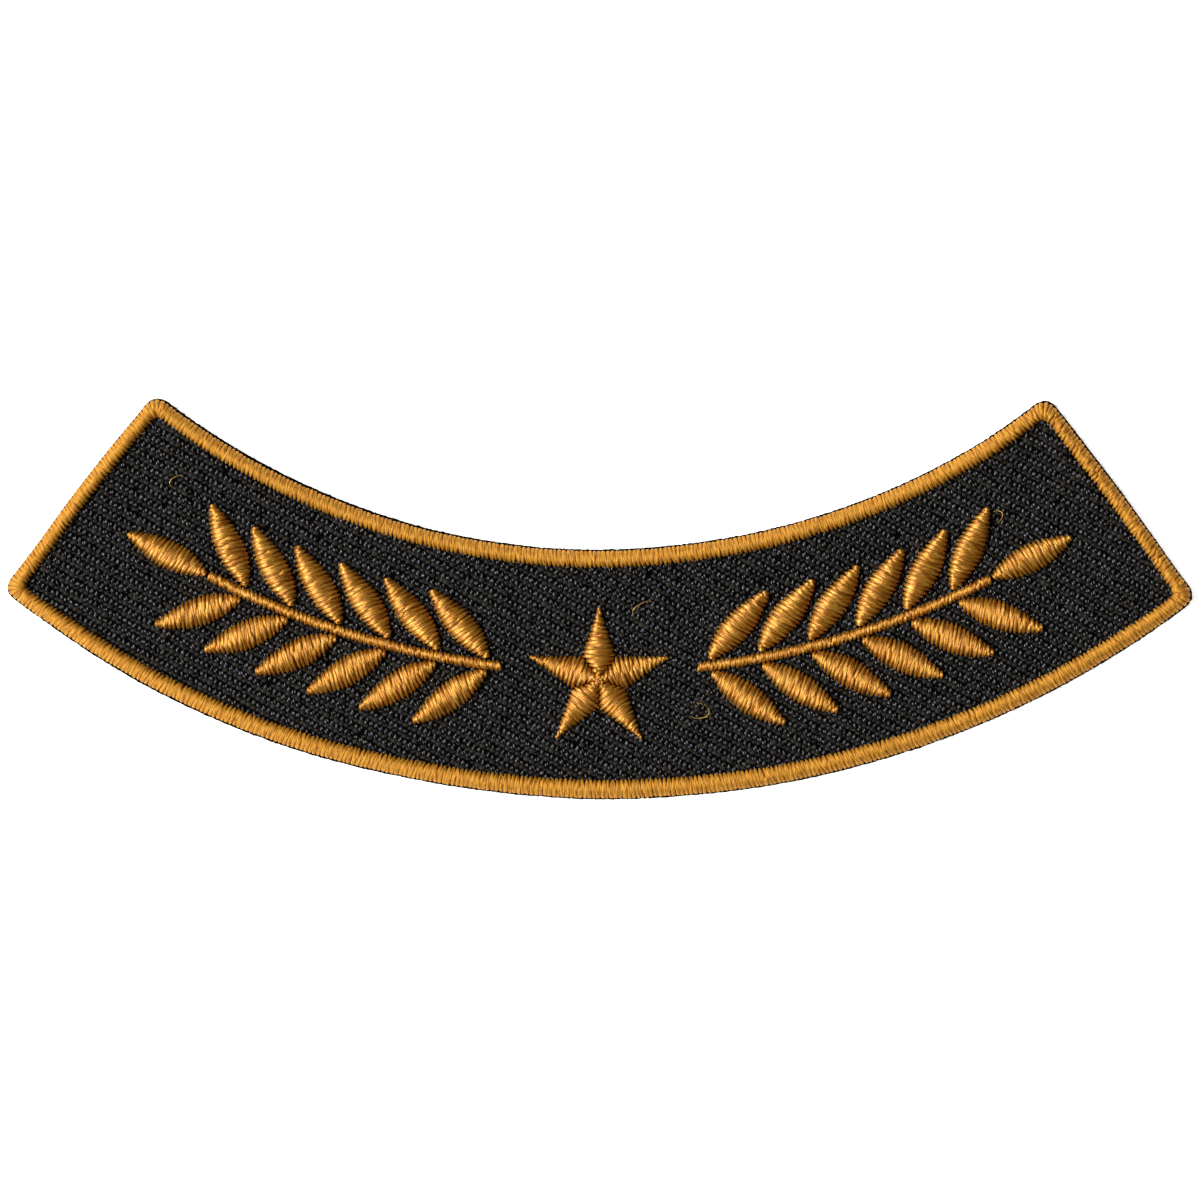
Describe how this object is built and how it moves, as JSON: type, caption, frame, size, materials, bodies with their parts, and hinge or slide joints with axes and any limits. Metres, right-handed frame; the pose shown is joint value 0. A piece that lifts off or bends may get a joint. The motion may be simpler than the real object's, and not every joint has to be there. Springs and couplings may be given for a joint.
{
  "type": "rocker patch",
  "caption": "Curved embroidered patch of black twill with a gold satin-stitched rim and a raised satin ornament of a star between two leafy sprays.",
  "frame": {"origin": "middle of the patch's bounding box, on the flat back that it lies on", "axes": "+X along the band, +Y up across it towards the inside of the curve, +Z out of the stitched face"},
  "size_m": [0.1018, 0.0341, 0.0019],
  "materials": {
    "black_twill": "matte three-over-one polyester twill with a faint sheen on each float",
    "gold_thread": "lustrous polyester satin stitch"
  },
  "bodies": {
    "root": {"twill_ground": "black_twill", "border_lower": "gold_thread", "border_upper": "gold_thread", "border_left": "gold_thread", "border_right": "gold_thread", "star": "gold_thread", "stem_left": "gold_thread", "stem_right": "gold_thread", "leaf_left_01": "gold_thread", "leaf_left_02": "gold_thread", "leaf_left_03": "gold_thread", "leaf_left_04": "gold_thread", "leaf_left_05": "gold_thread", "leaf_left_06": "gold_thread", "leaf_left_07": "gold_thread", "leaf_left_08": "gold_thread", "leaf_left_09": "gold_thread", "leaf_left_10": "gold_thread", "leaf_left_11": "gold_thread", "leaf_left_12": "gold_thread", "leaf_left_13": "gold_thread", "leaf_right_01": "gold_thread", "leaf_right_02": "gold_thread", "leaf_right_03": "gold_thread", "leaf_right_04": "gold_thread", "leaf_right_05": "gold_thread", "leaf_right_06": "gold_thread", "leaf_right_07": "gold_thread", "leaf_right_08": "gold_thread", "leaf_right_09": "gold_thread", "leaf_right_10": "gold_thread", "leaf_right_11": "gold_thread", "leaf_right_12": "gold_thread", "leaf_right_13": "gold_thread"}
  },
  "joints": []
}
